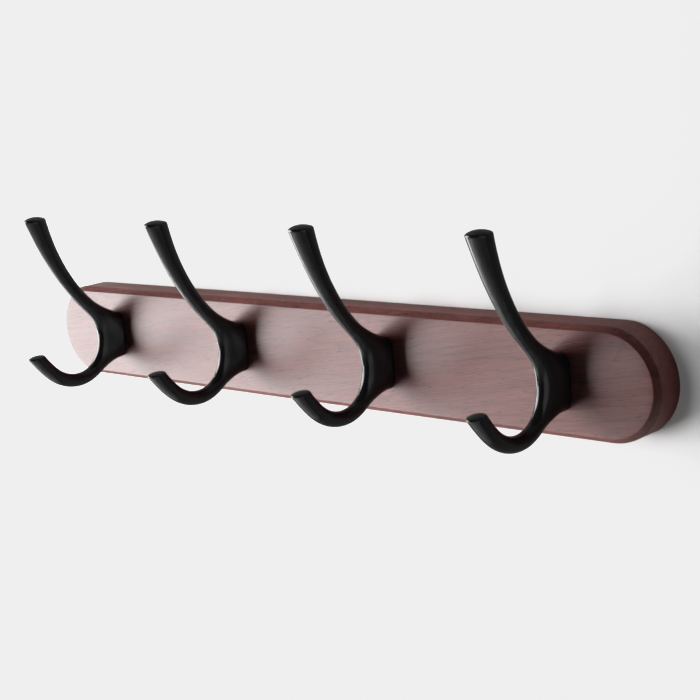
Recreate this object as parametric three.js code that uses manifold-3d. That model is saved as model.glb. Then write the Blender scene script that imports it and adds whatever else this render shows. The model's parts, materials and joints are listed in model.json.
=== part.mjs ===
// Wall hook rack: a stained wooden backboard carrying four die-cast double coat hooks.
// Millimetres. X runs along the board, Y points into the wall, Z is up.
// The origin is the centre of the board's back face, so the wall is the plane y = 0
// and everything in front of it has a negative y.

import * as THREE from 'three';
import { mergeVertices } from 'three/addons/utils/BufferGeometryUtils.js';
import Module from 'manifold-3d';

const wasm = await Module();
wasm.setup();

// ---------------------------------------------------------------- driving dimensions

const GAP = 0.3;                 // clearance kept between neighbouring pieces

const BOARD_LENGTH = 440;
const BOARD_HEIGHT = 55;         // the ends are full half circles of this diameter
const BOARD_THICKNESS = 18;
const BOARD_CHAMFER = 2.8;       // 45 degree chamfer round the front edge

const HOOK_COUNT = 4;
const HOOK_PITCH = 110;

// The hook's spine in its own middle plane, from the upper tip, down the body and round
// to the tip of the lower J: distance out from the wall, height above the board's middle.
const SPINE = [
  [67.3, 77], [61.5, 60], [53, 42.3], [42, 26.5], [31.2, 13.5], [28, 2],
  [30.4, -9.5], [38.6, -19], [51, -22], [65, -17.2], [78.3, -2.6],
];
const UPPER_TIP_RADIUS = 6.4;
const ARM_RADIUS = 4.0;          // the narrowest part of the upper arm
const ARM_FLARE_LENGTH = 60;     // the arm widens over this length up to its tip
const J_RADIUS = 3.9;
const J_TIP_RADIUS = 4.6;
const J_FLARE_LENGTH = 48;
const J_START = 0.55;            // the arm's radius turns into the J's between these two
const J_FULL = 0.7;              // shares of the spine's length
const UPPER_DOME = 1.9;          // height of the domed end caps
const J_DOME = 0.7;
const RIM_EASE = 0.4;            // small rounding where a cap meets its arm
const UPPER_CUT = 14;            // degrees that each end leans from square towards level
const J_CUT = 28;
const CUT_REACH = 16;            // the lean fades out over this length of the spine

// The boss is the oval foot that joins the spine to the board.
const BOSS_HALF_WIDTH = 8;
const BOSS_HALF_HEIGHT = 13.8;
const WAIST_HALF_WIDTH = 4.7;    // control ring between foot and spine
const WAIST_HALF_HEIGHT = 15.2;
const WAIST_OUT = 26.5;
const NECK_HALF_WIDTH = 3.2;     // where the boss ends, inside the spine
const NECK_REACH_UP = 33;        // how far along the spine the boss merges, above
const NECK_REACH_DOWN = 24;      // and below the spine's nearest point to the wall

// Machine screws that hold each hook from behind.
const SCREW_OFFSET = 7;          // above and below the board's middle line
const SCREW_RADIUS = 1.95;
const SCREW_LENGTH = 20;
const HEAD_RADIUS = 4;
const HEAD_HEIGHT = 2.6;
const COUNTERBORE_RADIUS = 5;
const COUNTERBORE_DEPTH = 5.5;
const WASHER_RADIUS = 4.5;
const WASHER_THICKNESS = 0.8;
const THREAD_HOLE_DEPTH = 7.5;   // blind hole in the boss
const THREAD_CHAMFER = 0.5;      // at the tip of the screw
const CROSS_WIDTH = 4;           // cross recess in the head
const CROSS_DEPTH = 1.4;

// Keyhole hanger plates let into the back of the board.
const HANGER_OFFSET = 110;       // each side of the middle
const PLATE_WIDTH = 15;
const PLATE_HEIGHT = 42;
const PLATE_THICKNESS = 2;
const KEYHOLE_RADIUS = 5;
const KEYHOLE_DROP = 5;          // the round entry lies this far below the plate's middle
const SLOT_HALF_WIDTH = 2.5;
const SLOT_TOP = 7;
const POCKET_HALF_WIDTH = 6;     // routed space for the head of a wall screw
const POCKET_DEPTH = 8.5;
const PLATE_SCREW_OFFSET = 16.2;
const PLATE_SCREW_HEAD = 3.1;
const PLATE_SCREW_RADIUS = 1.45;
const PLATE_SCREW_LENGTH = 14;
const PLATE_SCREW_POINT = 3;     // length of the tapered point
const PLATE_CROSS_WIDTH = 3;
const PLATE_CROSS_DEPTH = 1.1;
const PILOT_EXTRA = 1.5;         // the pilot hole is this much deeper than the screw

const ROUND_SIDES = 16;          // facets round screws, holes and washers
const PAST = 1;                  // how far a cutting tool runs out past the face it opens

// ---------------------------------------------------------------- solids and geometry

function toSolid(geometry) {
  const bare = geometry.clone();
  bare.deleteAttribute('normal');
  bare.deleteAttribute('uv');
  const merged = mergeVertices(bare, 1e-3);
  const index = merged.index.array;
  const triangles = [];
  for (let i = 0; i < index.length; i += 3) {
    const [a, b, c] = [index[i], index[i + 1], index[i + 2]];
    if (a !== b && b !== c && c !== a) triangles.push(a, b, c);
  }
  return new wasm.Manifold(new wasm.Mesh({
    numProp: 3,
    vertProperties: new Float32Array(merged.attributes.position.array),
    triVerts: new Uint32Array(triangles),
  }));
}

function toGeometry(solid) {
  const mesh = solid.getMesh();
  const geometry = new THREE.BufferGeometry();
  geometry.setAttribute('position', new THREE.BufferAttribute(mesh.vertProperties, 3));
  geometry.setIndex(new THREE.BufferAttribute(mesh.triVerts, 1));
  geometry.computeVertexNormals();
  return geometry;
}

function cut(body, tools) {
  return tools.reduce((rest, tool) => rest.subtract(toSolid(tool)), toSolid(body));
}

// A round bar or hole along Y between two y values.
function rod(radius, yLow, yHigh, x = 0, z = 0) {
  const geometry = new THREE.CylinderGeometry(radius, radius, yHigh - yLow, ROUND_SIDES);
  return geometry.translate(x, (yLow + yHigh) / 2, z);
}

// A profile of [radius, y] points turned about the Y axis, listed from low y to high y.
function turned(profile, sides = ROUND_SIDES) {
  return new THREE.LatheGeometry(profile.map(([r, y]) => new THREE.Vector2(r, y)), sides);
}

// A flat outline in X and Z given a thickness towards -y, starting at the plane y = -back.
function slab(shape, thickness, back) {
  const geometry = new THREE.ExtrudeGeometry(shape, {
    depth: thickness, bevelEnabled: false, curveSegments: 12,
  });
  return geometry.rotateX(Math.PI / 2).translate(0, -back, 0);
}

// A straight-sided outline with half-round ends at the top and the bottom.
function uprightStadium(halfWidth, zLow, zHigh) {
  const shape = new THREE.Shape();
  shape.absarc(0, zHigh - halfWidth, halfWidth, 0, Math.PI, false);
  shape.absarc(0, zLow + halfWidth, halfWidth, Math.PI, 2 * Math.PI, false);
  shape.closePath();
  return shape;
}

// ---------------------------------------------------------------- backboard

function boardOutline() {
  const radius = BOARD_HEIGHT / 2;
  const reach = BOARD_LENGTH / 2 - radius;
  const shape = new THREE.Shape();
  shape.absarc(reach, 0, radius, -Math.PI / 2, Math.PI / 2, false);
  shape.absarc(-reach, 0, radius, Math.PI / 2, 1.5 * Math.PI, false);
  shape.closePath();
  return shape;
}

// The bevel runs round both ends of the extrusion; the one at the back is cut away.
function boardBlank() {
  const blank = new THREE.ExtrudeGeometry(boardOutline(), {
    depth: BOARD_THICKNESS - BOARD_CHAMFER,
    bevelThickness: BOARD_CHAMFER,
    bevelSize: BOARD_CHAMFER,
    bevelOffset: -BOARD_CHAMFER,
    bevelSegments: 1,
    curveSegments: 26,
  });
  blank.rotateX(Math.PI / 2);
  const depth = 2 * BOARD_THICKNESS;
  const behind = new THREE.BoxGeometry(BOARD_LENGTH + PAST, depth, BOARD_HEIGHT + PAST);
  return [blank, behind.translate(0, depth / 2, 0)];
}

function hookScrewHoles(x) {
  return [SCREW_OFFSET, -SCREW_OFFSET].flatMap((z) => [
    rod(SCREW_RADIUS + GAP, -BOARD_THICKNESS - PAST, PAST, x, z),
    rod(COUNTERBORE_RADIUS, -COUNTERBORE_DEPTH, PAST, x, z),
  ]);
}

function hangerPockets(x) {
  const halfWidth = PLATE_WIDTH / 2 + GAP;
  const halfHeight = PLATE_HEIGHT / 2 + GAP;
  const recess = slab(uprightStadium(halfWidth, -halfHeight, halfHeight),
    PLATE_THICKNESS + 2 * GAP + PAST, -PAST);
  const pocketLow = -KEYHOLE_DROP - POCKET_HALF_WIDTH;
  const pocketHigh = SLOT_TOP + POCKET_HALF_WIDTH - SLOT_HALF_WIDTH;
  const pocket = slab(uprightStadium(POCKET_HALF_WIDTH, pocketLow, pocketHigh),
    POCKET_DEPTH + PAST, -PAST);
  const pilots = [PLATE_SCREW_OFFSET, -PLATE_SCREW_OFFSET].map((z) => (
    rod(PLATE_SCREW_RADIUS + GAP, -PLATE_SCREW_LENGTH - PILOT_EXTRA, PAST, 0, z)));
  return [recess, pocket, ...pilots].map((tool) => tool.translate(x, 0, 0));
}

function backboard() {
  const [blank, behind] = boardBlank();
  const tools = [behind];
  for (const x of hookPositions()) tools.push(...hookScrewHoles(x));
  for (const x of [-HANGER_OFFSET, HANGER_OFFSET]) tools.push(...hangerPockets(x));
  return toGeometry(cut(blank, tools));
}

// ---------------------------------------------------------------- hooks

function hookPositions() {
  const first = -HOOK_PITCH * (HOOK_COUNT - 1) / 2;
  return Array.from({ length: HOOK_COUNT }, (_, i) => first + i * HOOK_PITCH);
}

const spine = new THREE.CatmullRomCurve3(
  SPINE.map(([out, up]) => new THREE.Vector3(0, -out, up)), false, 'centripetal');
const spineLength = spine.getLength();

// Distance along the spine to its nearest point to the wall.
function bodyDistance() {
  let best = 0;
  for (let s = 0; s < spineLength; s += 0.5) {
    if (spine.getPointAt(s / spineLength).y > spine.getPointAt(best / spineLength).y) best = s;
  }
  return best;
}

// The spine's radius at a distance s from the upper tip.
function spineRadius(s) {
  const up = Math.max(0, 1 - s / ARM_FLARE_LENGTH);
  const down = Math.max(0, 1 - (spineLength - s) / J_FLARE_LENGTH);
  const intoJ = THREE.MathUtils.smoothstep(s / spineLength, J_START, J_FULL);
  return ARM_RADIUS + (UPPER_TIP_RADIUS - ARM_RADIUS) * up ** 2
    + (J_RADIUS - ARM_RADIUS) * intoJ
    + (J_TIP_RADIUS - J_RADIUS) * down ** 1.5;
}

// Half of a cap's profile, from its rim in to the axis: an eased rim and a shallow dome.
function capProfile(radius, dome) {
  const ring = radius - RIM_EASE;
  const rise = (share) => [ring * share, -dome * (1 - share ** 2)];
  return [[radius, RIM_EASE], rise(1), rise(2 / 3), rise(1 / 3), rise(0)];
}

// The spine drawn straight along Y, as a turned bar.
function straightBar() {
  const steps = 26;              // rings along the bar
  const profile = capProfile(spineRadius(0), UPPER_DOME).reverse();
  for (let i = 1; i < steps; i += 1) {
    const s = spineLength * i / steps;
    profile.push([spineRadius(s), s]);
  }
  for (const [r, s] of capProfile(spineRadius(spineLength), J_DOME)) {
    profile.push([r, spineLength - s]);
  }
  return turned(profile);
}

// A point at distance s along the spine, moved x sideways and w square to the spine.
function onSpine(x, s, w) {
  const u = THREE.MathUtils.clamp(s / spineLength, 0, 1);
  const tangent = spine.getTangentAt(u);
  const square = new THREE.Vector3(0, -tangent.z, tangent.y);
  return spine.getPointAt(u)
    .addScaledVector(tangent, s - u * spineLength)
    .addScaledVector(square, w)
    .add(new THREE.Vector3(x, 0, 0));
}

function moveVertices(geometry, place) {
  const position = geometry.attributes.position;
  const vertex = new THREE.Vector3();
  for (let i = 0; i < position.count; i += 1) {
    vertex.fromBufferAttribute(position, i);
    const moved = place(vertex);
    position.setXYZ(i, moved.x, moved.y, moved.z);
  }
  return geometry;
}

// How far a point slides along the spine so that both ends are cut nearly level.
function lean(s, w) {
  const up = Math.max(0, 1 - Math.max(0, s) / CUT_REACH);
  const down = Math.max(0, 1 - Math.max(0, spineLength - s) / CUT_REACH);
  return w * (Math.tan(THREE.MathUtils.degToRad(UPPER_CUT)) * up
    + Math.tan(THREE.MathUtils.degToRad(J_CUT)) * down);
}

function bentBar() {
  return moveVertices(straightBar(), (v) => onSpine(v.x, v.y + lean(v.y, v.z), v.z));
}

// The boss starts as a unit cylinder. Each of its vertices rides a quadratic curve from
// the oval foot on the board, through the waist ring, to a stretch of the spine.
function boss() {
  const middle = bodyDistance();
  const foot = -BOARD_THICKNESS - GAP;
  const unit = new THREE.CylinderGeometry(1, 1, 1, 24, 5);
  return moveVertices(unit, (v) => {
    const t = 0.5 - v.y;
    const reach = v.z > 0 ? NECK_REACH_UP : NECK_REACH_DOWN;
    const start = new THREE.Vector3(v.x * BOSS_HALF_WIDTH, foot, v.z * BOSS_HALF_HEIGHT);
    const waist = new THREE.Vector3(v.x * WAIST_HALF_WIDTH, -WAIST_OUT, v.z * WAIST_HALF_HEIGHT);
    const end = onSpine(v.x * NECK_HALF_WIDTH, middle - v.z * reach, 0);
    return new THREE.QuadraticBezierCurve3(start, waist, end).getPoint(t);
  });
}

function hook() {
  const foot = -BOARD_THICKNESS - GAP;
  const holes = [SCREW_OFFSET, -SCREW_OFFSET].map((z) => (
    rod(SCREW_RADIUS + GAP, foot - THREAD_HOLE_DEPTH, foot + PAST, 0, z)));
  let body = toSolid(bentBar()).add(toSolid(boss()));
  for (const hole of holes) body = body.subtract(toSolid(hole));
  return toGeometry(body);
}

// ---------------------------------------------------------------- fasteners and hangers

// Two crossed slots, sunk into a screw head from the plane y = top.
function crossRecess(width, depth, top) {
  const slotWidth = width / 4;
  const wide = new THREE.BoxGeometry(width, 2 * depth, slotWidth);
  const tall = new THREE.BoxGeometry(slotWidth, 2 * depth, width);
  return [wide, tall].map((slot) => slot.translate(0, top, 0));
}

const WASHER_SEAT = -COUNTERBORE_DEPTH + GAP;
const HEAD_SEAT = WASHER_SEAT + WASHER_THICKNESS + GAP;

function machineScrew() {
  const tip = HEAD_SEAT - SCREW_LENGTH;
  const top = HEAD_SEAT + HEAD_HEIGHT;
  const body = turned([
    [0, tip], [SCREW_RADIUS - THREAD_CHAMFER, tip], [SCREW_RADIUS, tip + THREAD_CHAMFER],
    [SCREW_RADIUS, HEAD_SEAT], [HEAD_RADIUS, HEAD_SEAT], [HEAD_RADIUS, top - HEAD_HEIGHT / 2],
    [HEAD_RADIUS * 0.85, top - HEAD_HEIGHT / 6], [HEAD_RADIUS / 2, top], [0, top],
  ]);
  return toGeometry(cut(body, crossRecess(CROSS_WIDTH, CROSS_DEPTH, top)));
}

function washer() {
  const bore = SCREW_RADIUS + GAP;
  const top = WASHER_SEAT + WASHER_THICKNESS;
  return toGeometry(toSolid(turned([
    [bore, WASHER_SEAT], [WASHER_RADIUS, WASHER_SEAT], [WASHER_RADIUS, top], [bore, top],
    [bore, WASHER_SEAT],
  ])));
}

function keyhole() {
  const hole = new THREE.Path();
  const meet = Math.asin(SLOT_HALF_WIDTH / KEYHOLE_RADIUS);
  hole.absarc(0, -KEYHOLE_DROP, KEYHOLE_RADIUS, Math.PI / 2 + meet, Math.PI * 2.5 - meet, false);
  hole.absarc(0, SLOT_TOP - SLOT_HALF_WIDTH, SLOT_HALF_WIDTH, 0, Math.PI, false);
  hole.closePath();
  return hole;
}

// Countersunk head profile with its wide end at the plane y = top.
function countersink(extra, top) {
  const head = PLATE_SCREW_HEAD + extra;
  const shank = PLATE_SCREW_RADIUS + extra;
  return [[shank, top - (PLATE_SCREW_HEAD - PLATE_SCREW_RADIUS)], [head, top]];
}

const PLATE_SCREW_TOP = -2 * GAP;

function hangerPlate() {
  const shape = uprightStadium(PLATE_WIDTH / 2, -PLATE_HEIGHT / 2, PLATE_HEIGHT / 2);
  shape.holes.push(keyhole());
  const [low, high] = countersink(1.5 * GAP, PLATE_SCREW_TOP);
  const through = -PLATE_THICKNESS - GAP - PAST;
  const tools = [PLATE_SCREW_OFFSET, -PLATE_SCREW_OFFSET].map((z) => turned([
    [0, through], [low[0], through], low, high, [high[0], PAST], [0, PAST],
  ]).translate(0, 0, z));
  return toGeometry(cut(slab(shape, PLATE_THICKNESS, GAP), tools));
}

function plateScrew() {
  const tip = PLATE_SCREW_TOP - PLATE_SCREW_LENGTH;
  const body = turned([
    [0, tip], [PLATE_SCREW_RADIUS, tip + PLATE_SCREW_POINT],
    ...countersink(0, PLATE_SCREW_TOP), [0, PLATE_SCREW_TOP],
  ]);
  return toGeometry(cut(body, crossRecess(PLATE_CROSS_WIDTH, PLATE_CROSS_DEPTH, PLATE_SCREW_TOP)));
}

// ---------------------------------------------------------------- materials

function stainedWood() {
  return new THREE.MeshStandardMaterial({ color: 0x6b3f38, roughness: 0.45, metalness: 0 });
}

function blackCoating() {
  return new THREE.MeshStandardMaterial({ color: 0x17181a, roughness: 0.35, metalness: 0.3 });
}

function zincPlatedSteel() {
  return new THREE.MeshStandardMaterial({ color: 0xb9bcc0, roughness: 0.35, metalness: 1 });
}

// ---------------------------------------------------------------- assembly

function piece(name, geometry, material) {
  const mesh = new THREE.Mesh(geometry, material);
  mesh.name = name;
  return mesh;
}

function hookSet(number, x, shapes, coating, steel) {
  const set = new THREE.Group();
  set.position.x = x;
  set.add(piece(`hook_${number}`, shapes.hook, coating));
  for (const [place, z] of [['upper', SCREW_OFFSET], ['lower', -SCREW_OFFSET]]) {
    const screw = piece(`hook_${number}_screw_${place}`, shapes.screw, steel);
    const ring = piece(`hook_${number}_washer_${place}`, shapes.washer, steel);
    screw.position.z = z;
    ring.position.z = z;
    set.add(screw, ring);
  }
  return set;
}

function hangerSet(side, x, shapes, steel) {
  const set = new THREE.Group();
  set.position.x = x;
  set.add(piece(`hanger_plate_${side}`, shapes.plate, steel));
  for (const [place, z] of [['upper', PLATE_SCREW_OFFSET], ['lower', -PLATE_SCREW_OFFSET]]) {
    const screw = piece(`hanger_screw_${side}_${place}`, shapes.plateScrew, steel);
    screw.position.z = z;
    set.add(screw);
  }
  return set;
}

function hookRack() {
  const rack = new THREE.Group();
  const steel = zincPlatedSteel();
  const coating = blackCoating();
  const shapes = {
    hook: hook(),
    screw: machineScrew(),
    washer: washer(),
    plate: hangerPlate(),
    plateScrew: plateScrew(),
  };
  rack.add(piece('backboard', backboard(), stainedWood()));
  hookPositions().forEach((x, i) => rack.add(hookSet(i + 1, x, shapes, coating, steel)));
  rack.add(hangerSet('left', -HANGER_OFFSET, shapes, steel));
  rack.add(hangerSet('right', HANGER_OFFSET, shapes, steel));
  return rack;
}

export default hookRack();
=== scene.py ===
import json
import math

import bmesh
import bpy
import numpy as np
from mathutils import Matrix, Vector

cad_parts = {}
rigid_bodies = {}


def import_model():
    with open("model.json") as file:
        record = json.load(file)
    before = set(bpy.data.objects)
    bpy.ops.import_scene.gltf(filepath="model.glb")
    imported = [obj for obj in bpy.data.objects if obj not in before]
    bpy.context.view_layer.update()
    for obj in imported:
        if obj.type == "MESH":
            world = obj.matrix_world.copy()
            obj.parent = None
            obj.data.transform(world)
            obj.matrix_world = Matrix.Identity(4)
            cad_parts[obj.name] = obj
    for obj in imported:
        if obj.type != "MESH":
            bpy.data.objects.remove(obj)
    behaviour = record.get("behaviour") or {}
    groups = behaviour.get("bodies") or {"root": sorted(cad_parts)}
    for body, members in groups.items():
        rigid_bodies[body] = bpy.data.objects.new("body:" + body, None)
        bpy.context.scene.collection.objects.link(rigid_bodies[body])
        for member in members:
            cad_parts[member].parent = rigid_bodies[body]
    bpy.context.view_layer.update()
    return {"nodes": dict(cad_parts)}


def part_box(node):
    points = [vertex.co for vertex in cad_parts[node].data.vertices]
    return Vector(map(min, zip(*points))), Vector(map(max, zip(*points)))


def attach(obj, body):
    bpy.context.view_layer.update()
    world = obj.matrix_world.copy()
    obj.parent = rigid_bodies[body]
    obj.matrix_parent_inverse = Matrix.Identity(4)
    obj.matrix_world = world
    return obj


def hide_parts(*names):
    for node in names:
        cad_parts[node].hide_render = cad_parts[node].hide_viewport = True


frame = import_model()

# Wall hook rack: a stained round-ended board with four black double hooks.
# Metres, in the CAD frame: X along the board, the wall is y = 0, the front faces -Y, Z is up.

BODY = "root"
MM = 0.001

HOOKS = [1, 2, 3, 4]
PLACES = ["upper", "lower"]
SIDES = ["left", "right"]

BOARD_LOW, BOARD_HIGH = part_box("backboard")
BOARD_LENGTH = BOARD_HIGH.x - BOARD_LOW.x
BOARD_HEIGHT = BOARD_HIGH.z - BOARD_LOW.z
FRONT = BOARD_LOW.y                      # the board's front face
END_STEPS = 64                           # straight pieces in each round end of the board
SLOT_STEPS = 24                          # the same for a slot in its back
SCREW_HOLE_RADIUS = 2.25                 # millimetres, in the hooks and in the board
PAST = 1                                 # millimetres by which a cutting tool leaves what it cuts


def centre(node):
    """The middle of a CAD node's box."""
    low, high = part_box(node)
    return (low + high) / 2


# ------------------------------------------------------------------ camera

CAMERA_PLACE = (0.58995, -0.58427, 0.16785)
CAMERA_TURN = (44.56, 11.61, -5.28)      # degrees to the left, down, and rolled
CAMERA_LENS, CAMERA_FILM = 79.8, 36      # focal length and width of the film, in millimetres


def make_camera():
    """A long lens to the right of the rack and a little above it, rolled slightly."""
    yaw, pitch, roll = (math.radians(a) for a in CAMERA_TURN)
    level = Vector((math.cos(yaw), math.sin(yaw), 0))
    ahead = Vector((-math.sin(yaw) * math.cos(pitch), math.cos(yaw) * math.cos(pitch), -math.sin(pitch)))
    above = level.cross(ahead)
    right = level * math.cos(roll) + above * math.sin(roll)
    up = above * math.cos(roll) - level * math.sin(roll)
    data = bpy.data.cameras.new("camera")
    data.lens = CAMERA_LENS
    data.sensor_width = CAMERA_FILM
    data.clip_start = 0.01
    camera = bpy.data.objects.new("camera", data)
    axes = Matrix((right, up, -ahead)).transposed()
    camera.matrix_world = Matrix.Translation(CAMERA_PLACE) @ axes.to_4x4()
    bpy.context.scene.collection.objects.link(camera)
    bpy.context.scene.camera = camera


# ------------------------------------------------------------------ mesh helpers

def new_object(name, vertices, faces):
    """An object with a mesh of these vertices and faces, its normals pointing out."""
    mesh = bpy.data.meshes.new(name)
    mesh.from_pydata([tuple(v) for v in vertices], [], faces)
    mesh.validate()
    bm = bmesh.new()
    bm.from_mesh(mesh)
    bmesh.ops.recalc_face_normals(bm, faces=bm.faces)
    bm.to_mesh(mesh)
    bm.free()
    piece = bpy.data.objects.new(name, mesh)
    bpy.context.scene.collection.objects.link(piece)
    return piece


def ring_faces(first, second):
    """Quads between two closed loops of vertex numbers of the same length."""
    count = len(first)
    return [(first[k], first[(k + 1) % count], second[(k + 1) % count], second[k]) for k in range(count)]


def filleted(corners, radii, steps=4):
    """A polyline with each inner corner rounded off to its radius."""
    points = [Vector(corners[0])]
    for before, corner, after, radius in zip(corners, corners[1:], corners[2:], radii):
        a, c, b = Vector(before), Vector(corner), Vector(after)
        to_a, to_b = (a - c).normalized(), (b - c).normalized()
        half = to_a.angle(to_b) / 2
        reach = radius / math.tan(half)
        middle = c + (to_a + to_b).normalized() * radius / math.sin(half)
        start = (c + to_a * reach - middle).normalized()
        end = (c + to_b * reach - middle).normalized()
        for k in range(steps + 1):
            points.append(middle + start.slerp(end, k / steps) * radius)
    points.append(Vector(corners[-1]))
    return points


def lathe(name, profile, sides=48):
    """A profile of (radius, y) turned about the Y axis; a radius of 0 closes it on the axis."""
    vertices, loops = [], []
    for radius, y in profile:
        if radius < 1e-7:
            loops.append([len(vertices)])
            vertices.append((0, y, 0))
            continue
        loops.append(list(range(len(vertices), len(vertices) + sides)))
        for k in range(sides):
            a = 2 * math.pi * k / sides
            vertices.append((radius * math.cos(a), y, radius * math.sin(a)))
    faces = []
    for low, high in zip(loops, loops[1:]):
        if len(low) == len(high):
            faces += ring_faces(low, high)
        else:
            point, ring = (low[0], high) if len(low) == 1 else (high[0], low)
            faces += [(point, ring[k], ring[(k + 1) % sides]) for k in range(sides)]
    return new_object(name, vertices, faces)


def stadium(half_length, half_height, inset, steps, upright=False):
    """Outline points of a bar with half-round ends, drawn in from its edge by inset."""
    radius = half_height - inset
    reach = half_length - half_height
    points = []
    for side in (1, -1):
        for k in range(steps + 1):
            a = math.pi * (k / steps - 0.5)
            points.append((side * (reach + radius * math.cos(a)), side * radius * math.sin(a)))
    return [(-z, x) for x, z in points] if upright else points


def prism(name, outline, y_low, y_high, x=0.0, z=0.0):
    """An (x, z) outline drawn out along Y between two levels, and moved to x, z."""
    vertices = [(x + px, y, z + pz) for y in (y_low, y_high) for px, pz in outline]
    count = len(outline)
    low, high = list(range(count)), list(range(count, 2 * count))
    return new_object(name, vertices, ring_faces(low, high) + [tuple(low), tuple(high)])


def stepped_hole(x, z, profile):
    """A cutting tool along Y at x, z; its profile of (radius, y) is in millimetres."""
    tool = lathe("hole", [(r * MM, y * MM) for r, y in profile])
    tool.data.transform(Matrix.Translation((x, 0, z)))
    return tool


def apply_modifiers(piece):
    """Turns what the modifiers make of the piece into its own mesh."""
    bpy.context.view_layer.update()
    evaluated = piece.evaluated_get(bpy.context.evaluated_depsgraph_get())
    mesh = bpy.data.meshes.new_from_object(evaluated)
    mesh.name = piece.name
    piece.modifiers.clear()
    piece.data = mesh


def cut(piece, tools):
    """Subtracts the tools from the piece, one after another, and removes them."""
    for tool in tools:
        change = piece.modifiers.new("cut", "BOOLEAN")
        change.operation = "DIFFERENCE"
        change.solver = "EXACT"
        change.object = tool
        apply_modifiers(piece)
        bpy.data.objects.remove(tool)


def smooth(piece, degrees=35):
    """Smooth shading that stays sharp across edges of more than so many degrees."""
    piece.data.shade_smooth()
    piece.data.set_sharp_from_angle(angle=math.radians(degrees))


def finish_piece(piece, material, slot, *nodes):
    """Gives the piece its material, joins it to the body and hides the nodes of the CAD it stands for."""
    piece.data.materials.clear()
    piece.data.materials.append(material)
    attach(piece, BODY)
    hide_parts(*nodes)


# ------------------------------------------------------------------ node helpers

class Nodes:
    """A material's node tree with short calls for the nodes used here."""

    def __init__(self, name):
        self.material = bpy.data.materials.new(name)
        self.material.use_nodes = True
        self.tree = self.material.node_tree
        self.shader = self.tree.nodes["Principled BSDF"]

    def add(self, kind, **values):
        """A new node; each value is one of its settings or, failing that, of its sockets."""
        node = self.tree.nodes.new(kind)
        for key, value in values.items():
            if hasattr(node, key):
                setattr(node, key, value)
            else:
                node.inputs[key].default_value = value
        return node

    def link(self, source, target):
        """Joins an output to an input."""
        self.tree.links.new(source, target)

    def position(self, scale, lean=0.0):
        """Object coordinates turned by lean about the Y axis, then stretched by scale."""
        vector = self.add("ShaderNodeTexCoord").outputs["Object"]
        for name, value in (("Rotation", (0, lean, 0)), ("Scale", scale)):
            mapping = self.add("ShaderNodeMapping")
            mapping.inputs[name].default_value = value
            self.link(vector, mapping.inputs["Vector"])
            vector = mapping.outputs["Vector"]
        return vector

    def tune(self, **values):
        """Sets sockets of the shader; an underscore in a name stands for a space."""
        for key, value in values.items():
            self.shader.inputs[key.replace("_", " ")].default_value = value

    def noise(self, vector, scale, detail=4.0, roughness=0.55, distortion=0.0):
        """Fractal noise, from 0 to 1."""
        node = self.add(
            "ShaderNodeTexNoise", Scale=scale, Detail=detail, Roughness=roughness, Distortion=distortion)
        self.link(vector, node.inputs["Vector"])
        return node.outputs["Fac"]

    def ramp(self, value, stops):
        """A colour ramp; each stop is (position, grey or colour)."""
        node = self.add("ShaderNodeValToRGB")
        elements = node.color_ramp.elements
        while len(elements) < len(stops):
            elements.new(0.5)
        for element, (position, colour) in zip(elements, stops):
            element.position = position
            element.color = (colour,) * 3 + (1,) if isinstance(colour, (int, float)) else (*colour, 1)
        self.link(value, node.inputs["Fac"])
        return node.outputs["Color"]

    def mix(self, factor, first, second, blend="MIX"):
        """A mix of two colours; factor and colours are sockets or constants."""
        node = self.tree.nodes.new("ShaderNodeMix")
        node.data_type = "RGBA"
        node.blend_type = blend
        inputs = node.inputs               # 6 and 7 are the two colours
        for socket, value in ((inputs[0], factor), (inputs[6], first), (inputs[7], second)):
            if isinstance(value, bpy.types.NodeSocket):
                self.link(value, socket)
            elif isinstance(value, tuple):
                socket.default_value = (*value, 1)
            else:
                socket.default_value = value
        return node.outputs[2]

    def math(self, operation, first, second=0.0):
        """A calculation with two values, each a socket or a constant."""
        node = self.add("ShaderNodeMath", operation=operation)
        for socket, value in zip(node.inputs, (first, second)):
            if isinstance(value, bpy.types.NodeSocket):
                self.link(value, socket)
            else:
                socket.default_value = value
        return node.outputs[0]

    def bump(self, height, strength, distance):
        """A normal that follows the height; distance is in metres."""
        node = self.add("ShaderNodeBump", Strength=strength, Distance=distance)
        self.link(height, node.inputs["Height"])
        return node.outputs["Normal"]


# ------------------------------------------------------------------ materials

GRAIN_LEAN = math.radians(10)        # the grain rises this much towards +X

FIGURE_TONES = [(0.30, (0.190, 0.047, 0.040)), (0.50, (0.310, 0.092, 0.079)), (0.70, (0.420, 0.135, 0.116))]
STREAK_TONES = [(0.32, (0.140, 0.032, 0.027)), (0.66, (0.420, 0.138, 0.118))]
FIBRE_TONES = [(0.36, (0.090, 0.022, 0.020)), (0.64, (0.50, 0.165, 0.140))]
DRIFT_TONE = (0.24, 0.066, 0.056)
LINE_TONE = (0.080, 0.020, 0.017)
PORE_TONE = (0.060, 0.018, 0.016)
# Painted shade along the board: factors on the base colour, from its left end to its right end.
PAINTED_SHADE_ALONG = [(0.0, 0.72), (0.40, 1.0), (0.75, 1.0), (0.88, 0.92), (1.0, 0.70)]   # left end to right end


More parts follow.
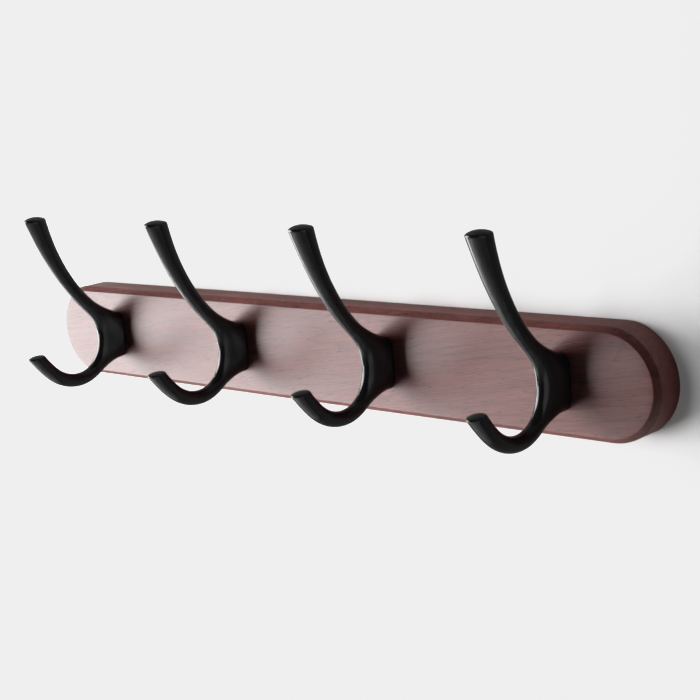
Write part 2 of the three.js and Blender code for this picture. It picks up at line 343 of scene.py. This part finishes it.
def stained_wood():
    """Reddish brown stain under satin lacquer, its grain nearly along X."""
    n = Nodes("stained_wood")

    def grain(*scale, **look):
        return n.noise(n.position(scale, GRAIN_LEAN), 1.0, **look)

    drift = n.noise(n.position((3, 9, 9)), 1.0, detail=2)
    figure = grain(2.2, 60, 60, detail=5, roughness=0.6, distortion=0.7)
    streaks = grain(7, 420, 420, detail=4, roughness=0.6)
    fibres = grain(55, 1500, 1500, detail=4, roughness=0.65)
    pores = grain(150, 1900, 1900, detail=2, roughness=0.4)

    # Growth lines: a sawtooth across the grain, bent by noise, that fades in and out.
    split = n.add("ShaderNodeSeparateXYZ")
    n.link(n.position((9, 0, 150), GRAIN_LEAN), split.inputs[0])
    sweep = grain(5, 30, 30, detail=3, distortion=0.4)
    across = n.math("ADD", split.outputs["X"], split.outputs["Z"])
    phase = n.math("ADD", across, n.math("MULTIPLY", sweep, 9.0))
    fade = n.ramp(n.noise(n.position((9, 70, 70)), 1.0, detail=3), [(0.36, 0.1), (0.62, 1.0)])
    ring = n.ramp(n.math("FRACT", phase), [(0.0, 0.0), (0.03, 1.0), (0.22, 0.25), (0.5, 0.0)])
    lines = n.math("MULTIPLY", ring, fade)

    tone = n.ramp(figure, FIGURE_TONES)
    tone = n.mix(0.45, tone, n.ramp(streaks, STREAK_TONES))
    tone = n.mix(0.35, tone, n.ramp(fibres, FIBRE_TONES))
    tone = n.mix(n.ramp(drift, [(0.35, 0.0), (0.70, 0.35)]), tone, DRIFT_TONE)
    tone = n.mix(n.math("MULTIPLY", lines, 0.50), tone, LINE_TONE)
    pore_mask = n.ramp(pores, [(0.30, 1.0), (0.36, 0.0)])
    tone = n.mix(n.math("MULTIPLY", pore_mask, 0.8), tone, PORE_TONE)

    # Painted shade: the base colour darkens towards both ends of the board, most at the right, standing in
    # for how the light falls off along it.
    along = n.add("ShaderNodeSeparateXYZ")
    n.link(n.position((1, 1, 1)), along.inputs[0])
    end = n.math("MULTIPLY", n.math("ADD", along.outputs["X"], BOARD_LENGTH / 2), 1 / BOARD_LENGTH)
    tone = n.mix(1.0, tone, n.ramp(end, PAINTED_SHADE_ALONG), "MULTIPLY")
    n.link(tone, n.shader.inputs["Base Color"])

    n.link(n.ramp(streaks, [(0.3, 0.37), (0.7, 0.43)]), n.shader.inputs["Roughness"])
    grooves = n.math("ADD", pore_mask, n.math("MULTIPLY", lines, 0.6))
    height = n.math("SUBTRACT", n.math("MULTIPLY", fibres, 0.35), grooves)
    n.link(n.bump(height, 0.18, 0.00008), n.shader.inputs["Normal"])
    n.tune(Coat_Weight=0.32, Coat_Roughness=0.40)
    return n.material


def black_coating():
    """Satin black stoved coating with a very fine orange peel."""
    n = Nodes("black_coating")
    cloud = n.noise(n.position((1, 1, 1)), 60.0, detail=3)
    peel = n.noise(n.position((1, 1, 1)), 1500.0, detail=2)
    specks = n.noise(n.position((1, 1, 1)), 5200.0, detail=1)
    tone = n.ramp(cloud, [(0.3, (0.0055, 0.0055, 0.0070)), (0.7, (0.0080, 0.0080, 0.0100))])
    n.link(tone, n.shader.inputs["Base Color"])
    n.link(n.ramp(n.mix(0.4, cloud, specks), [(0.3, 0.16), (0.7, 0.23)]), n.shader.inputs["Roughness"])
    n.link(n.bump(peel, 0.06, 0.00004), n.shader.inputs["Normal"])
    n.tune(Specular_IOR_Level=0.5)
    return n.material


def zinc_plate():
    """Bright zinc plating: pale, faintly blue and cloudy."""
    n = Nodes("zinc_plate")
    cloud = n.noise(n.position((1, 1, 1)), 180.0, detail=4)
    lines = n.noise(n.position((300, 300, 4000)), 1.0, detail=3)
    tone = n.ramp(cloud, [(0.3, (0.50, 0.51, 0.53)), (0.7, (0.68, 0.69, 0.71))])
    n.link(tone, n.shader.inputs["Base Color"])
    n.link(n.ramp(n.mix(0.5, cloud, lines), [(0.3, 0.38), (0.7, 0.56)]), n.shader.inputs["Roughness"])
    n.link(n.bump(lines, 0.15, 0.00003), n.shader.inputs["Normal"])
    n.tune(Metallic=1.0)
    return n.material


# ------------------------------------------------------------------ hook

# The spine of a hook: distance out from the wall and height, in millimetres,
# from the upper tip to the tip of the lower J.
SPINE = [
    (67.3, 77), (61.5, 60), (53, 42.3), (42, 26.5), (31.2, 13.5), (28, 2),
    (30.4, -9.5), (38.6, -19), (51, -22), (65, -17.2), (78.3, -2.6),
]
UPPER_TIP_RADIUS, ARM_RADIUS, ARM_FLARE = 6.4, 4.0, 60   # the flare is this long
J_TIP_RADIUS, J_RADIUS, J_FLARE = 4.6, 3.9, 48
UPPER_DOME, J_DOME = 1.9, 1.3        # heights of the domed ends
SLIM_FROM, SLIM_OVER = 0.55, 0.15    # where the arm's radius turns into the J's, as shares of the spine
UPPER_CUT, J_CUT = math.radians(14), math.radians(28)   # lean of the ends from square to level
CUT_REACH = 16                       # the lean fades out over this length of the spine
FOOT_HALF_WIDTH, FOOT_HALF_HEIGHT = 8.0, 13.8
FOOT_FLARE_UP, FOOT_FLARE_DOWN, FOOT_FLARE_ASIDE = 0.50, 0.30, 0.15   # slopes of the boss at the board
FOOT_POWER = 7.0                     # 2 is an ellipse; more squares its corners up
FOOT_CLEARANCE = 0.05                # between the foot's face and the board
FOOT_ROUND = 0.5                     # height of the rounding at the foot's edge
FOOT_FACE = (0.985, 0.90)            # sizes of the rings in the foot's face, its outline being 1
BLEND_UP, BLEND_DOWN = 25, 23        # how far along the spine the boss runs out into it
CORNER_UP, CORNER_DOWN = math.radians(40), math.radians(34)   # angles from level to its corners
BOSS_STEPS = 5                       # cage loops from the spine to the foot
BOSS_PULL = 0.36                     # how far both ends of the boss's curves hold their direction
RELAX = 8                            # rounds of evening out the boss
UPPER_RIM, J_RIM = (0.4, 1.6, 4.0), (3.6, 1.4, 0.3)   # distances from the tips of the rings there
UPPER_EVEN, J_EVEN = 8.5, 7.5        # the other rings keep this far from the tips
UPPER_RINGS, BOSS_RINGS, LOWER_RINGS = 9, 11, 8   # with the rings that two of them share
RING = 12                            # cage sides round the spine
ROUND_UP = 3 / (2 + math.cos(2 * math.pi / RING))   # a subdivided ring shrinks by this much

HOOK_HOLE_DEPTH, HOOK_HOLE_TIP = 7.5, 8.2   # to the end of a screw hole's bore and of its cone


def cubic_through(points, steps=600):
    """A natural cubic spline through the points, as evenly spaced points and their distances."""
    points = np.array(points, float)
    knots = np.concatenate([[0], np.cumsum(np.linalg.norm(np.diff(points, axis=0), axis=1) ** 0.5)])
    gaps = np.diff(knots)
    count = len(points)
    system, right = np.eye(count), np.zeros((count, 2))
    for k in range(1, count - 1):
        system[k, k - 1:k + 2] = gaps[k - 1], 2 * (gaps[k - 1] + gaps[k]), gaps[k]
        right[k] = 6 * ((points[k + 1] - points[k]) / gaps[k] - (points[k] - points[k - 1]) / gaps[k - 1])
    bend = np.linalg.solve(system, right)
    where = np.linspace(0, knots[-1], steps * 4)
    k = np.clip(np.searchsorted(knots, where, side="right") - 1, 0, count - 2)
    a, b, h = (knots[k + 1] - where)[:, None], (where - knots[k])[:, None], gaps[k][:, None]
    curve = (bend[k] * a ** 3 + bend[k + 1] * b ** 3) / (6 * h)
    curve += (points[k] / h - bend[k] * h / 6) * a + (points[k + 1] / h - bend[k + 1] * h / 6) * b
    along = np.concatenate([[0], np.cumsum(np.linalg.norm(np.diff(curve, axis=0), axis=1))])
    even = np.linspace(0, along[-1], steps)
    return even, np.stack([np.interp(even, along, curve[:, i]) for i in (0, 1)], 1)


ALONG, CURVE = cubic_through(SPINE)
LENGTH = ALONG[-1]
NEAREST = ALONG[np.argmin(CURVE[:, 0])]          # where the spine comes nearest to the wall


def spine_frame(s):
    """The spine's point, direction and wallward normal at distance s, in (y, z) millimetres."""
    inside = min(max(s, 0), LENGTH)
    step = 0.6
    point, ahead, behind = (
        Vector((-np.interp(t, ALONG, CURVE[:, 0]), np.interp(t, ALONG, CURVE[:, 1])))
        for t in (inside, min(inside + step, LENGTH), max(inside - step, 0)))
    along = (ahead - behind).normalized()
    return point + along * (s - inside), along, Vector((-along.y, along.x))


def spine_radius(s):
    """The radius at distance s: the arm's, then the J's, each flaring towards its tip."""
    up = max(0, 1 - s / ARM_FLARE)
    down = max(0, 1 - (LENGTH - s) / J_FLARE)
    t = min(max((s / LENGTH - SLIM_FROM) / SLIM_OVER, 0), 1)
    ease = t * t * (3 - 2 * t)
    return (ARM_RADIUS + (UPPER_TIP_RADIUS - ARM_RADIUS) * up ** 2
            + (J_RADIUS - ARM_RADIUS) * ease + (J_TIP_RADIUS - J_RADIUS) * down ** 1.5)


def lean(s, w):
    """How far a point w wallward of the spine slides along it, so that both ends lean."""
    up = max(0, 1 - max(0, s) / CUT_REACH)
    down = max(0, 1 - max(0, LENGTH - s) / CUT_REACH)
    return w * (math.tan(UPPER_CUT) * up + math.tan(J_CUT) * down)


def dome(radius, height, shares):
    """(rise, radius) of the rings of a domed end."""
    return [(height * (1 - share ** 2), radius * share) for share in shares]


def cage_rings():
    """(distance, radius) of each cage ring, and the numbers of the boss's first and last."""
    start = [(-rise, r) for rise, r in dome(UPPER_TIP_RADIUS, UPPER_DOME, (0.26, 0.52, 0.76, 0.93))]
    start.append((UPPER_RIM[0], UPPER_TIP_RADIUS))
    start += [(s, spine_radius(s)) for s in UPPER_RIM[1:]]
    end = [(LENGTH - J_RIM[0], spine_radius(LENGTH - J_RIM[0]))]
    end += [(LENGTH - s, J_TIP_RADIUS) for s in J_RIM[1:]]
    end += [(LENGTH + rise, r) for rise, r in dome(J_TIP_RADIUS, J_DOME, (0.92, 0.74, 0.50, 0.25))]
    upper = np.linspace(UPPER_EVEN, NEAREST - BLEND_UP, UPPER_RINGS)
    middle = np.linspace(NEAREST - BLEND_UP, NEAREST + BLEND_DOWN, BOSS_RINGS)[1:]
    lower = np.linspace(NEAREST + BLEND_DOWN, LENGTH - J_EVEN, LOWER_RINGS)[1:]
    body = [(s, spine_radius(s)) for s in (*upper, *middle, *lower)]
    first = len(start) + len(upper) - 1
    return start + body + end, first, first + len(middle)


def foot_outline(a):
    """The foot's outline at angle a, as (x, z): a rectangle with generous corners."""
    x, z = math.cos(a), math.sin(a)
    out = (abs(x) ** FOOT_POWER + abs(z) ** FOOT_POWER) ** (-1 / FOOT_POWER)
    return FOOT_HALF_WIDTH * out * x, FOOT_HALF_HEIGHT * out * z


FOOT = FRONT / MM - FOOT_CLEARANCE     # where the foot's face lies

# How far each column of the tube follows the evening out, from its sides to its front.
RELAX_COLUMNS = {0: 1.0, 6: 1.0, 11: 0.7, 7: 0.7, 10: 0.3, 8: 0.3}


def relax(vertices, faces, share):
    """Moves each vertex in share towards the middle of its neighbours, RELAX times."""
    near = {v: set() for v in share}
    for face in faces:
        for a, b in zip(face, (*face[1:], face[0])):
            if a in near:
                near[a].add(b)
            if b in near:
                near[b].add(a)
    for _ in range(RELAX):
        before = [v.copy() for v in vertices]
        for v, weight in share.items():
            mean = sum((before[i] for i in sorted(near[v])), Vector()) / len(near[v])
            vertices[v] = before[v].lerp(mean, 0.5 * weight)


def opening_edge(top, bottom):
    """The edge of the opening on the wall side: (ring, column, angle round the foot) in turn."""
    half = RING // 2
    span = bottom - top
    edge = []
    for j in range(half + 1):
        edge.append((top, j, CORNER_UP + (math.pi - 2 * CORNER_UP) * j / half))
    for i in range(top + 1, bottom):
        f = (i - top) / span
        edge.append((i, half, math.pi - CORNER_UP + (CORNER_UP + CORNER_DOWN) * f))
    for j in range(half, -1, -1):
        edge.append((bottom, j, math.pi + CORNER_DOWN + (math.pi - 2 * CORNER_DOWN) * (half - j) / half))
    for i in range(bottom - 1, top, -1):
        f = (bottom - i) / span
        edge.append((i, 0, 2 * math.pi - CORNER_DOWN + (CORNER_UP + CORNER_DOWN) * f))
    return edge


def boss_curve(start, inward, a, t):
    """The point at share t of a curve from the opening's edge to the foot's outline at angle a."""
    x, z = foot_outline(a)
    end = Vector((x, FOOT - FOOT_ROUND, z))
    pull = (end - start).length * BOSS_PULL
    slope = math.sin(a) * (FOOT_FLARE_UP if a < math.pi else FOOT_FLARE_DOWN)
    outward = Vector((-FOOT_FLARE_ASIDE * math.cos(a), -1, slope))
    one, two = start + inward.normalized() * pull, end + outward.normalized() * pull
    u = 1 - t
    return start * u ** 3 + one * 3 * u * u * t + two * 3 * u * t * t + end * t ** 3


def hook_cage():
    """Vertices and faces of a hook's subdivision cage, centred on x = 0, in millimetres."""
    rings, top, bottom = cage_rings()
    vertices, faces = [], []
    for s, radius in rings:
        for j in range(RING):
            a = 2 * math.pi * j / RING
            aside, back = radius * ROUND_UP * math.cos(a), radius * ROUND_UP * math.sin(a)
            point, _, wallward = spine_frame(s + lean(s, back))
            vertices.append(Vector((aside, *(point + wallward * back))))

    def number(i, j):
        return i * RING + j % RING

    half = RING // 2                   # columns 0 to half face the wall
    for i in range(len(rings) - 1):
        for j in range(RING):
            if top <= i < bottom and j < half:
                continue
            faces.append((number(i, j), number(i, j + 1), number(i + 1, j + 1), number(i + 1, j)))
    faces.append(tuple(number(0, j) for j in range(RING)))
    faces.append(tuple(number(len(rings) - 1, j) for j in range(RING)))

    # The boss: loops from the edge of the opening to the foot.
    edge = opening_edge(top, bottom)
    loops = [[number(i, j) for i, j, _ in edge]]
    for k in range(1, BOSS_STEPS + 1):
        loops.append(list(range(len(vertices), len(vertices) + len(edge))))
        for i, j, a in edge:
            _, along, wallward = spine_frame(rings[i][0])
            inward = Vector((0, 0, 0))
            if i == top:
                inward += Vector((0, *along))
            if i == bottom:
                inward -= Vector((0, *along))
            if j in (0, half):
                inward += Vector((0, *wallward))
            vertices.append(boss_curve(vertices[number(i, j)], inward, a, k / BOSS_STEPS))
    share = {number(i, j): w for i in range(top, bottom + 1) for j, w in RELAX_COLUMNS.items()}
    share.update({v: 1.0 for loop in loops[1:-1] for v in loop})
    relax(vertices, faces + [f for a, b in zip(loops, loops[1:]) for f in ring_faces(a, b)], share)

    # The foot's face.
    for size in FOOT_FACE:
        loops.append(list(range(len(vertices), len(vertices) + len(edge))))
        for _, _, a in edge:
            x, z = foot_outline(a)
            vertices.append(Vector((x * size, FOOT, z * size)))
    for first, second in zip(loops, loops[1:]):
        faces += ring_faces(first, second)
    faces.append(tuple(loops[-1]))
    return vertices, faces


def hook_casting():
    """The mesh of one hook: its subdivided cage, with the two blind holes for its screws."""
    vertices, faces = hook_cage()
    casting = new_object("hook_casting", [v * MM for v in vertices], faces)
    rounding = casting.modifiers.new("subdivision", "SUBSURF")
    rounding.levels = rounding.render_levels = 2
    apply_modifiers(casting)
    front = FRONT / MM
    profile = [(0, front - HOOK_HOLE_TIP), (SCREW_HOLE_RADIUS, front - HOOK_HOLE_DEPTH)]
    profile += [(SCREW_HOLE_RADIUS, front + PAST), (0, front + PAST)]
    cut(casting, [stepped_hole(0, centre(f"hook_1_screw_{place}").z, profile) for place in PLACES])
    smooth(casting, 40)
    mesh = casting.data
    bpy.data.objects.remove(casting)
    return mesh


def make_hooks(material):
    """Four hooks that share one mesh."""
    mesh = hook_casting()
    for number in HOOKS:
        node = f"hook_{number}"
        piece = bpy.data.objects.new(f"{node}_casting", mesh)
        bpy.context.scene.collection.objects.link(piece)
        piece.location.x = centre(node).x
        finish_piece(piece, material, "black_coating", node)


# ------------------------------------------------------------------ backboard

CHAMFER = 2.8 * MM
BACK_ROUND, SIDE_ROUND, CHAMFER_ROUND = 0.8 * MM, 1.2 * MM, 0.9 * MM   # radii of its edges
FACE_START = 7 * MM                  # the flat front and back begin this far in from the outline

COUNTERBORE_RADIUS, COUNTERBORE_DEPTH = 5, 5.5   # these and the pilot holes in millimetres
PILOT_RADIUS, PILOT_DEPTH = 1.75, 15.5           # the holes of the hanger screws
RECESS_DEPTH, RECESS_CLEARANCE = 2.6 * MM, 0.3 * MM   # the recess round each hanger plate
POCKET_HALF_HEIGHT, POCKET_HALF_WIDTH = 10.75 * MM, 6 * MM   # room for the head of the wall screw
POCKET_DEPTH = 8.5 * MM
POCKET_DROP = 0.25 * MM              # how far its middle lies below that of the plate


def board_blank():
    """The board's section, swept round its stadium outline."""
    depth = -FRONT
    section = filleted(
        [(FACE_START, 0), (0, 0), (0, -(depth - CHAMFER)), (CHAMFER, -depth), (FACE_START, -depth)],
        [BACK_ROUND, SIDE_ROUND, CHAMFER_ROUND])
    vertices, loops = [], []
    for inset, y in section:
        outline = stadium(BOARD_LENGTH / 2, BOARD_HEIGHT / 2, inset, END_STEPS)
        loops.append(list(range(len(vertices), len(vertices) + len(outline))))
        vertices += [(x, y, z) for x, z in outline]
    faces = [face for low, high in zip(loops, loops[1:]) for face in ring_faces(low, high)]
    faces += [tuple(loops[0]), tuple(loops[-1])]
    return new_object("board", vertices, faces)


def slot_tool(half_height, half_width, depth, x, z=0.0):
    """A cutting tool for an upright slot with round ends in the board's back; all in metres."""
    outline = stadium(half_height, half_width, 0, SLOT_STEPS, upright=True)
    return prism("slot", outline, -depth, PAST * MM, x, z)


def make_board(material):
    """The board, with the counterbored screw holes and the places for its hanger plates."""
    board = board_blank()
    through = FRONT / MM - PAST
    screw_hole = [
        (0, through), (SCREW_HOLE_RADIUS, through), (SCREW_HOLE_RADIUS, -COUNTERBORE_DEPTH),
        (COUNTERBORE_RADIUS, -COUNTERBORE_DEPTH), (COUNTERBORE_RADIUS, PAST), (0, PAST),
    ]
    pilot_hole = [(0, -PILOT_DEPTH), (PILOT_RADIUS, -PILOT_DEPTH), (PILOT_RADIUS, PAST), (0, PAST)]
    tools = []
    for number in HOOKS:
        for place in PLACES:
            c = centre(f"hook_{number}_washer_{place}")
            tools.append(stepped_hole(c.x, c.z, screw_hole))
    for side in SIDES:
        c = centre(f"hanger_plate_{side}")
        low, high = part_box(f"hanger_plate_{side}")
        half_height = (high.z - low.z) / 2 + RECESS_CLEARANCE
        half_width = (high.x - low.x) / 2 + RECESS_CLEARANCE
        tools.append(slot_tool(half_height, half_width, RECESS_DEPTH, c.x))
        tools.append(slot_tool(POCKET_HALF_HEIGHT, POCKET_HALF_WIDTH, POCKET_DEPTH, c.x, -POCKET_DROP))
        for place in PLACES:
            c = centre(f"hanger_screw_{side}_{place}")
            tools.append(stepped_hole(c.x, c.z, pilot_hole))
    cut(board, tools)
    smooth(board, 30)
    finish_piece(board, material, "stained_wood", "backboard")


# ------------------------------------------------------------------ hardware

def hardware():
    """The screws, washers and hanger plates."""
    kinds = ("screw", "washer", "plate")
    return [node for name, node in frame["nodes"].items() if any(kind in name for kind in kinds)]


def finish_hardware(material):
    """Gives the hardware its material and smooth shading."""
    for node in hardware():
        node.data.materials.clear()
        node.data.materials.append(material)
        smooth(node)


# ------------------------------------------------------------------ stage

WALL_GAP = 0.3 * MM                  # between the board's back and the wall
WALL_OPENING_INSET = 0.6 * MM        # the opening stays this far inside the board's outline
WALL_REACH, WALL_RISE = 2.6, 2.0     # half the length and height of the wall
WALL_TONE = [(0.0, 0.75), (0.25, 0.85), (0.5, 0.82), (0.62, 0.76), (0.72, 0.6), (1.0, 0.5)]
WALL_TONE_REACH = 0.6                # the tones run from this far left of the middle to as far right
WALL_MIRRORED = 0.12                 # share of the wall's light that glossy surfaces pick up
WALL_MIRRORED_NEAR = 0.19            # the same within NEAR of the wall
NEAR = 0.045                         # metres


def wall_material():
    """Matt paint, see-through from behind; its tone evens out the light along the wall."""
    n = Nodes("wall_paint")
    split = n.add("ShaderNodeSeparateXYZ")
    n.link(n.position((1, 1, 1)), split.inputs[0])
    across = n.add("ShaderNodeMapRange")
    across.inputs["From Min"].default_value = -WALL_TONE_REACH
    across.inputs["From Max"].default_value = WALL_TONE_REACH
    n.link(split.outputs["X"], across.inputs["Value"])
    path = n.add("ShaderNodeLightPath")
    far = n.math("GREATER_THAN", path.outputs["Ray Length"], NEAR)
    lost = n.math("ADD", n.math("MULTIPLY", far, WALL_MIRRORED_NEAR - WALL_MIRRORED), 1 - WALL_MIRRORED_NEAR)
    dim = n.math("MULTIPLY", path.outputs["Is Glossy Ray"], lost)
    tone = n.mix(dim, n.ramp(across.outputs["Result"], WALL_TONE), (0.0, 0.0, 0.0))
    n.link(tone, n.shader.inputs["Base Color"])
    n.tune(Roughness=0.9, Specular_IOR_Level=0.1)
    clear = n.add("ShaderNodeBsdfTransparent")
    choose = n.add("ShaderNodeMixShader")
    behind = n.add("ShaderNodeNewGeometry")
    n.link(behind.outputs["Backfacing"], choose.inputs[0])
    n.link(n.shader.outputs[0], choose.inputs[1])
    n.link(clear.outputs[0], choose.inputs[2])
    output = n.tree.nodes["Material Output"]
    n.link(choose.outputs[0], output.inputs["Surface"])
    return n.material


def make_wall():
    """The wall just behind the board, with an opening that the board hides."""
    inner = stadium(BOARD_LENGTH / 2, BOARD_HEIGHT / 2, WALL_OPENING_INSET, END_STEPS)
    vertices = [(x, WALL_GAP, z) for x, z in inner]
    for x, z in inner:
        a = math.atan2(z / BOARD_HEIGHT, x / BOARD_LENGTH)
        vertices.append((WALL_REACH * math.cos(a), WALL_GAP, WALL_RISE * math.sin(a)))
    count = len(inner)
    faces = ring_faces(list(range(count)), list(range(count, 2 * count)))
    wall = new_object("wall", vertices, faces)

    # Every face of the wall looks to the front.
    bm = bmesh.new()
    bm.from_mesh(wall.data)
    bmesh.ops.reverse_faces(bm, faces=[f for f in bm.faces if f.normal.y > 0])
    bm.to_mesh(wall.data)
    bm.free()
    wall.data.materials.append(wall_material())


FLOOR_LEVEL, FLOOR_REACH = -1.3, 4.0
FLOOR_GLOW = 0.5                     # keeps the floor pale where the camera sees it


def make_floor():
    """A pale floor well below the rack."""
    n = Nodes("pale_floor")
    n.tune(Base_Color=(0.75, 0.75, 0.75, 1), Roughness=0.8, Emission_Color=(1, 1, 1, 1))
    seen = n.math("MULTIPLY", n.add("ShaderNodeLightPath").outputs["Is Camera Ray"], FLOOR_GLOW)
    n.link(seen, n.shader.inputs["Emission Strength"])
    far = FLOOR_REACH
    outline = [(-far, -far), (far, -far), (far, far), (-far, far)]
    floor = new_object("floor", [(x, y, FLOOR_LEVEL) for x, y in outline], [(0, 1, 2, 3)])
    floor.data.materials.append(n.material)
    floor.visible_diffuse = False


TONE_CURVE = [(0.78, 0.78), (0.90, 0.85), (1.0, 0.863)]   # straight, then a short shoulder


def set_tones():
    """A tone curve whose shoulder lets the wall settle to one even pale grey."""
    view = bpy.context.scene.view_settings
    view.view_transform = "Standard"
    view.use_curve_mapping = True
    curve = view.curve_mapping.curves[3]   # the one for all three colours together
    for place, level in TONE_CURVE:
        point = curve.points.new(place, level) if place < 1 else curve.points[len(curve.points) - 1]
        point.location = (place, level)
    for point in curve.points:
        point.handle_type = "VECTOR"
    view.curve_mapping.extend = "HORIZONTAL"
    view.curve_mapping.update()


def area_light(name, place, target, width, height, radiance, only=(), glossy=True):
    """A soft rectangular light; only names the things it falls on, when it isn't everything."""
    data = bpy.data.lights.new(name, "AREA")
    data.shape = "RECTANGLE"
    data.size, data.size_y = width, height
    data.energy = radiance * math.pi * width * height
    light = bpy.data.objects.new(name, data)
    aim = (Vector(target) - Vector(place)).to_track_quat("-Z", "Y")
    light.matrix_world = Matrix.Translation(place) @ aim.to_matrix().to_4x4()
    light.visible_camera = False
    light.visible_glossy = glossy
    bpy.context.scene.collection.objects.link(light)
    if only:
        group = bpy.data.collections.new(f"lit by {name}")
        for piece in only:
            group.objects.link(piece)
        light.light_linking.receiver_collection = group


def make_lights():
    """Soft lights for the hooks, the board, the wall and the back of the rack."""
    things = bpy.data.objects
    hooks = [things[f"hook_{number}_casting"] for number in HOOKS]
    wall, board, floor = things["wall"], things["board"], things["floor"]
    zinc = hardware()

    # Place, target, width, height, radiance, what it falls on.
    area_light("hook_panel", (-1.5, -0.87, 0.25), (0, -0.87, 0.25), 1.8, 1.3, 9.0, hooks)
    area_light("hook_rim", (-1.5, -0.22, -0.75), (0, -0.22, -0.75), 0.45, 0.9, 9.0, hooks)
    area_light("hook_fill", (1.5, -0.65, -0.1), (0, 0, 0), 1.2, 1.4, 0.6, hooks)
    area_light("board_panel", (-1.5, -0.98, -0.6), (0, -0.98, -0.6), 1.25, 2.2, 9.2, [board, floor, *zinc])
    area_light("board_top", (-0.6, -0.2, 0.35), (0, 0, 0), 0.4, 0.4, 0.7, [board], glossy=False)
    area_light("wall_wash", (-1.5, -0.70, -0.17), (0, -0.70, -0.17), 1.4, 1.6, 21.0, [wall])
    area_light("wall_front", (-0.9, -2.0, 0.3), (0, 0, 0), 1.2, 1.2, 5.0, [wall])
    area_light("wall_right", (1.2, -1.0, 0), (0.2, 0, 0), 1.0, 1.0, 1.3, [wall])
    area_light("back_fill", (-0.8, 1.8, 0.8), (0, 0, 0), 1.6, 1.6, 3.0, glossy=False)
    area_light("back_sheen", (-0.6, 1.5, 0.5), (0, 0, 0), 2.6, 2.6, 3.0, zinc)


STUDIO_LIGHT = 0.015                 # light from all round
STUDIO_MIRRORED = 0.04               # how much brighter the studio is in glossy surfaces
STUDIO_SEEN = (0.86, 0.86, 0.86, 1)  # its colour behind everything


def make_studio():
    """Very faint light from all round, a little brighter in glossy surfaces, and pale to look at."""
    world = bpy.data.worlds.new("studio")
    world.use_nodes = True
    tree = world.node_tree
    lit = tree.nodes["Background"]
    lit.inputs["Color"].default_value = (1, 1, 1, 1)
    seen = tree.nodes.new("ShaderNodeBackground")
    seen.inputs["Color"].default_value = STUDIO_SEEN
    rays = tree.nodes.new("ShaderNodeLightPath")
    strength = tree.nodes.new("ShaderNodeMath")
    strength.operation = "MULTIPLY_ADD"
    strength.inputs[1].default_value = STUDIO_MIRRORED
    strength.inputs[2].default_value = STUDIO_LIGHT
    tree.links.new(rays.outputs["Is Glossy Ray"], strength.inputs[0])
    tree.links.new(strength.outputs[0], lit.inputs["Strength"])
    choose = tree.nodes.new("ShaderNodeMixShader")
    tree.links.new(rays.outputs["Is Camera Ray"], choose.inputs[0])
    tree.links.new(lit.outputs[0], choose.inputs[1])
    tree.links.new(seen.outputs[0], choose.inputs[2])
    tree.links.new(choose.outputs[0], tree.nodes["World Output"].inputs["Surface"])
    bpy.context.scene.world = world


# ------------------------------------------------------------------ everything

make_camera()
set_tones()
make_board(stained_wood())
make_hooks(black_coating())
finish_hardware(zinc_plate())
make_wall()
make_floor()
make_lights()
make_studio()
